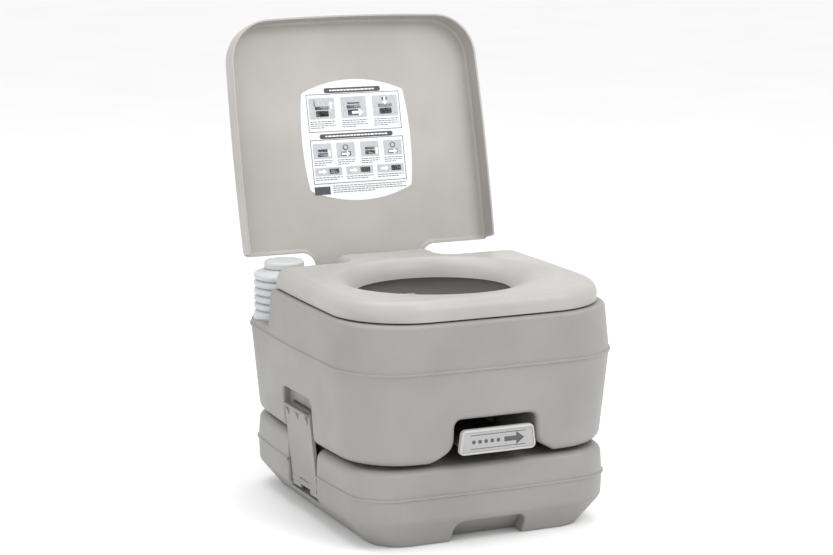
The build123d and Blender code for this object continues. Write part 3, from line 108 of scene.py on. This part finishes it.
# ------------------------------------------------------------------ materials
class Shader:
    """A small helper that adds and joins nodes of one material."""

    def __init__(self, name):
        self.material = bpy.data.materials.new(name)
        self.material.use_nodes = True
        self.tree = self.material.node_tree
        self.bsdf = self.tree.nodes["Principled BSDF"]

    def node(self, kind, **values):
        made = self.tree.nodes.new(kind)
        for key, value in values.items():
            if key in made.inputs.keys():
                made.inputs[key].default_value = value
            else:
                setattr(made, key, value)
        return made

    def join(self, source, target):
        self.tree.links.new(source, target)

    def position(self, scale=(1, 1, 1)):
        """The place on the object, in metres times scale."""
        coords = self.node("ShaderNodeTexCoord")
        mapping = self.node("ShaderNodeMapping")
        mapping.inputs["Scale"].default_value = scale
        self.join(coords.outputs["Object"], mapping.inputs["Vector"])
        return mapping.outputs["Vector"]

    def noise(self, scale, detail=3.0, rough=0.5, stretch=(1, 1, 1)):
        made = self.node("ShaderNodeTexNoise", Scale=scale, Detail=detail, Roughness=rough)
        self.join(self.position(stretch), made.inputs["Vector"])
        return made.outputs["Fac"]

    def ramp(self, source, low, high, out_low=0.0, out_high=1.0):
        made = self.node("ShaderNodeMapRange")
        made.inputs["From Min"].default_value = low
        made.inputs["From Max"].default_value = high
        made.inputs["To Min"].default_value = out_low
        made.inputs["To Max"].default_value = out_high
        self.join(source, made.inputs["Value"])
        return made.outputs["Result"]

    def mix(self, amount, first, second):
        made = self.node("ShaderNodeMix", data_type="RGBA")
        self.join(amount, made.inputs["Factor"])
        for value, socket in ((first, made.inputs["A"]), (second, made.inputs["B"])):
            if isinstance(value, tuple):
                socket.default_value = (*value, 1.0)
            else:
                self.join(value, socket)
        return made.outputs["Result"]

    def bump(self, height, distance, strength=1.0, normal=None):
        made = self.node("ShaderNodeBump", Strength=strength, Distance=distance)
        self.join(height, made.inputs["Height"])
        if normal is not None:
            self.join(normal, made.inputs["Normal"])
        return made.outputs["Normal"]


def moulded_plastic(name, colour, rough=0.42, grain=0.00004, soft_edge=0.0012, lift=0.06, marks=0.5):
    """Moulded polyethylene: a faint cloudy tone, fine grain, soft edges, scuffs, and a painted highlight that
    lightens the rounded edges in patches.
    """
    s = Shader(name)
    dark = tuple(c * (1 - lift) for c in colour)
    light = tuple(min(1.0, c * (1 + lift)) for c in colour)
    cloud = s.mix(s.ramp(s.noise(9.0, 4.0, 0.55), 0.35, 0.65), dark, light)
    fine = s.ramp(s.noise(420.0, 2.0), 0.3, 0.7, 0.0, 1.0)
    body = s.mix(s.ramp(fine, 0, 1, 0.0, 0.10), cloud, tuple(c * 0.86 for c in colour))
    if soft_edge:
        round_normal = s.node("ShaderNodeBevel", Radius=soft_edge, samples=6)
        geometry = s.node("ShaderNodeNewGeometry")
        dot = s.node("ShaderNodeVectorMath", operation="DOT_PRODUCT")
        s.join(round_normal.outputs["Normal"], dot.inputs[0])
        s.join(geometry.outputs["Normal"], dot.inputs[1])
        # painted highlight: the rounded edges found by the bevel normal are lightened to 1.12 times the
        # colour, in noisy patches
        edge_highlight_mask = s.ramp(dot.outputs["Value"], 0.995, 0.90, 0.0, 1.0)
        painted_edge_highlight = s.node("ShaderNodeMath", operation="MULTIPLY")
        s.join(edge_highlight_mask, painted_edge_highlight.inputs[0])
        s.join(s.ramp(s.noise(60.0, 3.0), 0.45, 0.7, 0.0, 0.35), painted_edge_highlight.inputs[1])
        body = s.mix(painted_edge_highlight.outputs["Value"], body, tuple(min(1.0, c * 1.12) for c in colour))
        normal = round_normal.outputs["Normal"]
    else:
        normal = None
    s.join(body, s.bsdf.inputs["Base Color"])
    scuff = s.ramp(s.noise(35.0, 5.0, 0.7, (1.0, 1.0, 0.25)), 0.55, 0.75, 0.0, 1.0)
    blotch = s.ramp(s.noise(14.0, 3.0), 0.3, 0.7, rough - 0.05, rough + 0.06)
    total = s.node("ShaderNodeMath", operation="MULTIPLY_ADD")
    s.join(scuff, total.inputs[0])
    total.inputs[1].default_value = 0.10 * marks
    s.join(blotch, total.inputs[2])
    s.join(total.outputs["Value"], s.bsdf.inputs["Roughness"])
    wave = s.bump(s.noise(22.0, 2.0), 0.0006, 0.35, normal)
    s.join(s.bump(s.noise(900.0, 2.0), grain, 0.6, wave), s.bsdf.inputs["Normal"])
    s.bsdf.inputs["IOR"].default_value = 1.5
    s.bsdf.inputs["Specular IOR Level"].default_value = 0.42
    return s.material


def rubber(name, colour=(0.028, 0.028, 0.03)):
    s = Shader(name)
    body = s.mix(s.ramp(s.noise(160.0, 4.0), 0.3, 0.7), colour, tuple(c * 1.9 for c in colour))
    s.join(body, s.bsdf.inputs["Base Color"])
    s.join(s.ramp(s.noise(80.0, 3.0), 0.3, 0.7, 0.55, 0.75), s.bsdf.inputs["Roughness"])
    s.join(s.bump(s.noise(1200.0, 2.0), 0.00006, 0.5), s.bsdf.inputs["Normal"])
    return s.material


def steel(name):
    s = Shader(name)
    brushed = s.noise(600.0, 3.0, 0.6, (0.05, 1.0, 1.0))
    body = s.mix(s.ramp(brushed, 0.3, 0.7), (0.50, 0.50, 0.51), (0.66, 0.66, 0.67))
    s.join(body, s.bsdf.inputs["Base Color"])
    s.join(s.ramp(brushed, 0.3, 0.7, 0.24, 0.42), s.bsdf.inputs["Roughness"])
    s.bsdf.inputs["Metallic"].default_value = 1.0
    return s.material


def milky_hose(name):
    s = Shader(name)
    body = s.mix(s.ramp(s.noise(40.0, 3.0), 0.3, 0.7), (0.66, 0.70, 0.69), (0.78, 0.81, 0.80))
    s.join(body, s.bsdf.inputs["Base Color"])
    s.join(s.ramp(s.noise(60.0, 2.0), 0.3, 0.7, 0.25, 0.4), s.bsdf.inputs["Roughness"])
    s.bsdf.inputs["Transmission Weight"].default_value = 0.25
    return s.material


def printed_film(name, colour):
    s = Shader(name)
    body = s.mix(s.ramp(s.noise(70.0, 3.0), 0.35, 0.65), tuple(c * 0.97 for c in colour), colour)
    s.join(body, s.bsdf.inputs["Base Color"])
    s.join(s.ramp(s.noise(30.0, 2.0), 0.3, 0.7, 0.28, 0.42), s.bsdf.inputs["Roughness"])
    s.join(s.bump(s.noise(200.0, 2.0), 0.00003, 0.4), s.bsdf.inputs["Normal"])
    return s.material


TANK_GREY = (0.262, 0.258, 0.251)
LID_GREY = (0.392, 0.379, 0.358)
SEAT_GREY = (0.372, 0.364, 0.348)
PUMP_WHITE = (0.51, 0.518, 0.525)

MATERIALS = {
    "tank_plastic": moulded_plastic("tank_plastic", TANK_GREY, 0.46),
    "seat_plastic": moulded_plastic("seat_plastic", SEAT_GREY, 0.38, soft_edge=0.0),
    "lid_plastic": moulded_plastic("lid_plastic", LID_GREY, 0.42),
    "label_sheet": printed_film("label_sheet", (0.76, 0.77, 0.80)),
    "steel": steel("steel"),
    "valve_plastic": moulded_plastic("valve_plastic", (0.10, 0.10, 0.10), 0.5),
    "handle_plastic": moulded_plastic("handle_plastic", (0.48, 0.47, 0.46), 0.4, soft_edge=0.0008),
    "pump_plastic": moulded_plastic("pump_plastic", PUMP_WHITE, 0.38, soft_edge=0.0008, lift=0.02),
    "rubber": rubber("rubber"),
    "clear_hose": milky_hose("clear_hose"),
    "cap_plastic": moulded_plastic("cap_plastic", (0.76, 0.77, 0.78), 0.4, soft_edge=0.0008, lift=0.03),
}


# the small plate on the handle is a duller film than the sheet in the lid
OWN_MATERIALS = {"valve_handle_label": printed_film("handle_film", (0.36, 0.36, 0.357))}


def paint_nodes():
    for entry in frame["record"]["subparts"]:
        mesh = nodes[entry["node"]].data
        mesh.materials.clear()
        mesh.materials.append(OWN_MATERIALS.get(entry["node"], MATERIALS[entry["material_slot"]]))


def ink(name, colour):
    """Printing ink, a little uneven where it lies thin."""
    s = Shader(name)
    thin = tuple(min(1.0, c * 1.15 + 0.01) for c in colour)
    body = s.mix(s.ramp(s.noise(240.0, 3.0), 0.3, 0.7), colour, thin)
    s.join(body, s.bsdf.inputs["Base Color"])
    s.join(s.ramp(s.noise(90.0, 2.0), 0.3, 0.7, 0.36, 0.5), s.bsdf.inputs["Roughness"])
    return s.material


# ------------------------------------------------------------------ pieces
LID_OPEN = math.radians(104.0)   # from shut, as the frame holds it at rest
INK_LIFT = 0.2                   # millimetres from the middle of the sheet to its face
INK_THICK = 0.12
PALE_LIFT = 0.1                  # pale ink lies over the dark
PLATE_LIFT = 0.02


def add_piece(name, bm, body, material, smooth=True):
    mesh = bpy.data.meshes.new(name)
    bmesh.ops.recalc_face_normals(bm, faces=bm.faces)
    bm.to_mesh(mesh)
    bm.free()
    for face in mesh.polygons:
        face.use_smooth = smooth
    piece = bpy.data.objects.new(name, mesh)
    bpy.context.scene.collection.objects.link(piece)
    mesh.materials.append(material)
    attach(piece, body)
    return piece


def lathe(profile, centre, steps=96):
    """A surface of revolution about Z, from (radius, height) pairs that close on themselves."""
    bm = bmesh.new()
    rings = []
    for i in range(steps):
        turn = 2 * math.pi * i / steps
        rings.append([bm.verts.new((centre[0] + r * math.cos(turn), centre[1] + r * math.sin(turn), z))
                      for r, z in profile])
    for i in range(steps):
        here, there = rings[i], rings[(i + 1) % steps]
        for j in range(len(profile)):
            k = (j + 1) % len(profile)
            bm.faces.new((here[j], there[j], there[k], here[k]))
    return bm


def make_bellows():
    """Soft rounded folds, each with a deep tuck under it."""
    low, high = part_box("pump_bellows")
    centre = ((low[0] + high[0]) / 2, (low[1] + high[1]) / 2)
    outer = (high[0] - low[0]) / 2
    foot, top = low[2], high[2]
    folds, fold_steps = 6, 14
    neck, skin = 5 * MM, 1.6 * MM
    depth = 6.4 * MM
    pitch = (top - foot - neck) / folds
    wall = []
    for i in range(folds):
        for j in range(fold_steps):
            turn = math.pi * (j + 0.5) / fold_steps
            swell = math.sin(turn) ** 0.8
            height = foot + pitch * (i + 0.5) - pitch * 0.5 * math.cos(turn)
            wall.append((outer - depth + depth * swell, height))
    wall.append((outer - depth - 5 * MM, top - neck * 0.6))
    wall.append((outer - depth - 8 * MM, top - neck * 0.1))
    inside = [(r - skin, z) for r, z in reversed(wall)]
    bellows = add_piece("bellows_folds", lathe(wall + inside, centre), "tanks",
                        MATERIALS["pump_plastic"])
    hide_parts("pump_bellows")
    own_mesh(bellows)


class Print:
    """Flat shapes of ink laid on a face; place turns u, v and lift in millimetres into a point."""

    def __init__(self, place):
        self.place = place
        self.bm = bmesh.new()

    def shape(self, outline):
        low = [self.bm.verts.new(self.place(u, v, 0.0)) for u, v in outline]
        high = [self.bm.verts.new(self.place(u, v, INK_THICK)) for u, v in outline]
        self.bm.faces.new(low)
        self.bm.faces.new(high[::-1])
        for i in range(len(outline)):
            j = (i + 1) % len(outline)
            self.bm.faces.new((low[i], low[j], high[j], high[i]))

    def bar(self, u0, u1, v0, v1):
        self.shape([(u0, v0), (u1, v0), (u1, v1), (u0, v1)])

    def rounded(self, u0, u1, v0, v1, radius):
        outline = []
        corners = ((u1 - radius, v1 - radius, 0), (u0 + radius, v1 - radius, 90),
                   (u0 + radius, v0 + radius, 180), (u1 - radius, v0 + radius, 270))
        for u, v, start in corners:
            for step in range(5):
                turn = math.radians(start + step * 22.5)
                outline.append((u + radius * math.cos(turn), v + radius * math.sin(turn)))
        self.shape(outline)

    def frame(self, u0, u1, v0, v1, wide):
        self.bar(u0, u1, v0, v0 + wide)
        self.bar(u0, u1, v1 - wide, v1)
        self.bar(u0, u0 + wide, v0 + wide, v1 - wide)
        self.bar(u1 - wide, u1, v0 + wide, v1 - wide)

    def arrow(self, u, v, length, turn):
        """A straight arrow with its tail at a point, turned in degrees."""
        half, head = length * 0.11, length * 0.30
        outline = [(0, -half), (length * 0.6, -half), (length * 0.6, -head), (length, 0),
                   (length * 0.6, head), (length * 0.6, half), (0, half)]
        turn = math.radians(turn)
        self.shape([(u + a * math.cos(turn) - b * math.sin(turn), v + a * math.sin(turn) + b * math.cos(turn))
                    for a, b in outline])

    def lines(self, u0, v, widths, gap=2.7, tall=0.9):
        """Rows of plain dashes where small print would stand."""
        for i, width in enumerate(widths):
            u = u0
            step = 0
            while u < u0 + width:
                dash = 3.0 + 2.2 * ((step * 7 + i * 3) % 4) / 3
                self.bar(u, min(u + dash, u0 + width), v - i * gap - tall, v - i * gap)
                u += dash + 0.9
                step += 1

    def ring(self, u, v, outer, inner):
        for step in range(24):
            a, b = math.radians(step * 15), math.radians(step * 15 + 15)
            self.shape([(u + inner * math.cos(a), v + inner * math.sin(a)),
                        (u + outer * math.cos(a), v + outer * math.sin(a)),
                        (u + outer * math.cos(b), v + outer * math.sin(b)),
                        (u + inner * math.cos(b), v + inner * math.sin(b))])


def upper_frame(dark, grey, pale):
    """Three steps side by side under a heading bar."""
    dark.frame(-66, 66, 12, 62, 0.8)
    dark.rounded(-40, 40, 62.8, 69.5, 2.5)
    pale.lines(-32, 67.0, (64,), tall=1.6)
    for i, u in enumerate((-45, 0, 45)):
        grey.rounded(u - 18, u + 18, 29, 57, 2.0)
        dark.rounded(u - 9, u + 9, 32, 40, 1.5)
        dark.rounded(u - 10, u + 10, 41.2, 46, 1.2)
        if i == 0:
            dark.bar(u - 11, u - 9.4, 46, 55)
            pale.arrow(u + 13, 42, 10, 90)
        elif i == 1:
            pale.arrow(u - 3, 36, 16, 0)
            dark.rounded(u - 9, u + 9, 47.2, 49.4, 0.9)
        else:
            pale.arrow(u, 55, 11, 270)
            dark.rounded(u - 4, u + 4, 50.4, 54.6, 1.2)
        dark.lines(u - 18, 26.2, (36, 33, 36, 20))


def lower_frame(dark, grey, pale):
    """Two rows of smaller steps, and dashes at the foot of the sheet."""
    dark.frame(-66, 66, -56, 2, 0.8)
    dark.rounded(-52, 52, 2.8, 9.2, 3.0)
    pale.lines(-44, 6.9, (88,), tall=1.6)
    for i, u in enumerate((-50, -17, 17, 50)):
        grey.rounded(u - 13, u + 13, -23, -3, 1.6)
        dark.rounded(u - 7, u + 7, -20.5, -15, 1.0)
        if i % 2:
            pale.arrow(u - 6, -17.8, 12, 0)
            dark.ring(u, -9.5, 4.0, 2.6)
        else:
            dark.rounded(u - 7, u + 7, -14, -10.5, 1.0)
            pale.arrow(u + 9.6, -20, 9, 90)
        dark.lines(u - 13, -25.2, (26, 24, 16))
    for i, u in enumerate((-44, 0, 44)):
        grey.rounded(u - 19, u + 19, -45.5, -34.5, 1.4)
        pale.arrow(u - 14, -40, 11, 0)
        dark.rounded(u + 1, u + 15, -43.5, -36.5, 1.2)
        dark.lines(u - 19, -47.4, (38, 30))
    dark.lines(-40, -59.0, (104, 98, 104, 60))
    dark.bar(-66, -44, -70, -59.5)


def make_lid_print():
    """Generic pictograms and dashes on the sheet inside the lid, without lettering."""
    low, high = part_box("lid_label")
    middle = Vector(((low[0] + high[0]) / 2, (low[1] + high[1]) / 2, (low[2] + high[2]) / 2))
    tilt = LID_OPEN - math.radians(90.0)
    up = Vector((0, math.sin(tilt), math.cos(tilt)))
    out = Vector((0, -math.cos(tilt), math.sin(tilt)))
    right = Vector((1, 0, 0))

    def place(u, v, lift):
        return middle + right * u * MM + up * v * MM + out * (INK_LIFT + lift) * MM

    dark, grey, pale = Print(place), Print(place), Print(lambda u, v, lift: place(u, v, lift + PALE_LIFT))
    upper_frame(dark, grey, pale)
    lower_frame(dark, grey, pale)
    inks = (("dark", dark, (0.045, 0.045, 0.05)), ("grey", grey, (0.42, 0.43, 0.45)),
            ("pale", pale, (0.88, 0.88, 0.88)))
    for name, art, colour in inks:
        add_piece("lid_print_" + name, art.bm, "lid", ink("lid_ink_" + name, colour), False)


def make_handle_print():
    """A pull arrow and a dotted line on the handle's front."""
    low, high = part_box("valve_handle_label")
    middle = Vector(((low[0] + high[0]) / 2, low[1], (low[2] + high[2]) / 2))

    def place(u, v, lift):
        return middle + Vector((u * MM, -(PLATE_LIFT + lift) * MM, v * MM))

    art = Print(place)
    for i in range(5):
        art.rounded(-34 + i * 8, -29.5 + i * 8, -2.2, 2.2, 1.4)
    art.arrow(8, 0, 26, 0)
    art.bar(-36, 36, -8.6, -7.8)
    art.bar(-36, 36, 7.8, 8.6)
    material = ink("handle_ink", (0.06, 0.06, 0.065))
    add_piece("handle_print", art.bm, "valve_slide", material, False)


def make_latch_lip(node, side):
    """The finger lip along the top of a latch, with three gussets under it."""
    low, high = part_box(node)
    face = high[0] if side > 0 else -low[0]
    top = high[2]
    lip = [(-1.5, -3.2), (3.5, -3.2), (4.3, -2.5), (4.6, -1.6), (4.3, -0.6), (3.5, 0.0), (-1.5, 0.0)]
    gusset = [(-3.0, -15.0), (-1.4, -15.0), (3.2, -3.1), (-1.5, -3.1)]
    middle, half = (low[1] + high[1]) / 2, (high[1] - low[1]) / 2 - 2 * MM
    spans = [(lip, middle - half, middle + half)]
    for place in (-0.8, 0.0, 0.8):
        spans.append((gusset, middle + place * half - 1.2 * MM, middle + place * half + 1.2 * MM))
    bm = bmesh.new()
    for outline, start, end in spans:
        ends = []
        for y in (start, end):
            ends.append([bm.verts.new((side * (face + o * MM), y, top + h * MM)) for o, h in outline])
        bm.faces.new(ends[0])
        bm.faces.new(ends[1][::-1])
        for i in range(len(outline)):
            j = (i + 1) % len(outline)
            bm.faces.new((ends[0][i], ends[0][j], ends[1][j], ends[1][i]))
    add_piece(node + "_lip", bm, node, MATERIALS["tank_plastic"], False)


# ------------------------------------------------------------------ stage
def floor_material():
    s = Shader("floor")
    body = s.mix(s.ramp(s.noise(3.0, 3.0), 0.3, 0.7), (0.93, 0.93, 0.93), (0.95, 0.95, 0.95))
    s.join(body, s.bsdf.inputs["Base Color"])
    s.bsdf.inputs["Roughness"].default_value = 0.9
    s.bsdf.inputs["Specular IOR Level"].default_value = 0.1
    return s.material


def make_floor():
    bm = bmesh.new()
    bmesh.ops.create_grid(bm, x_segments=2, y_segments=2, size=14.0)
    mesh = bpy.data.meshes.new("floor")
    bm.to_mesh(mesh)
    bm.free()
    floor = bpy.data.objects.new("floor", mesh)
    bpy.context.scene.collection.objects.link(floor)
    mesh.materials.append(floor_material())


make_camera()
make_lights()
make_floor()
paint_nodes()
make_bellows()
make_lid_print()
make_handle_print()
make_latch_lip("latch_left", -1)
make_latch_lip("latch_right", 1)
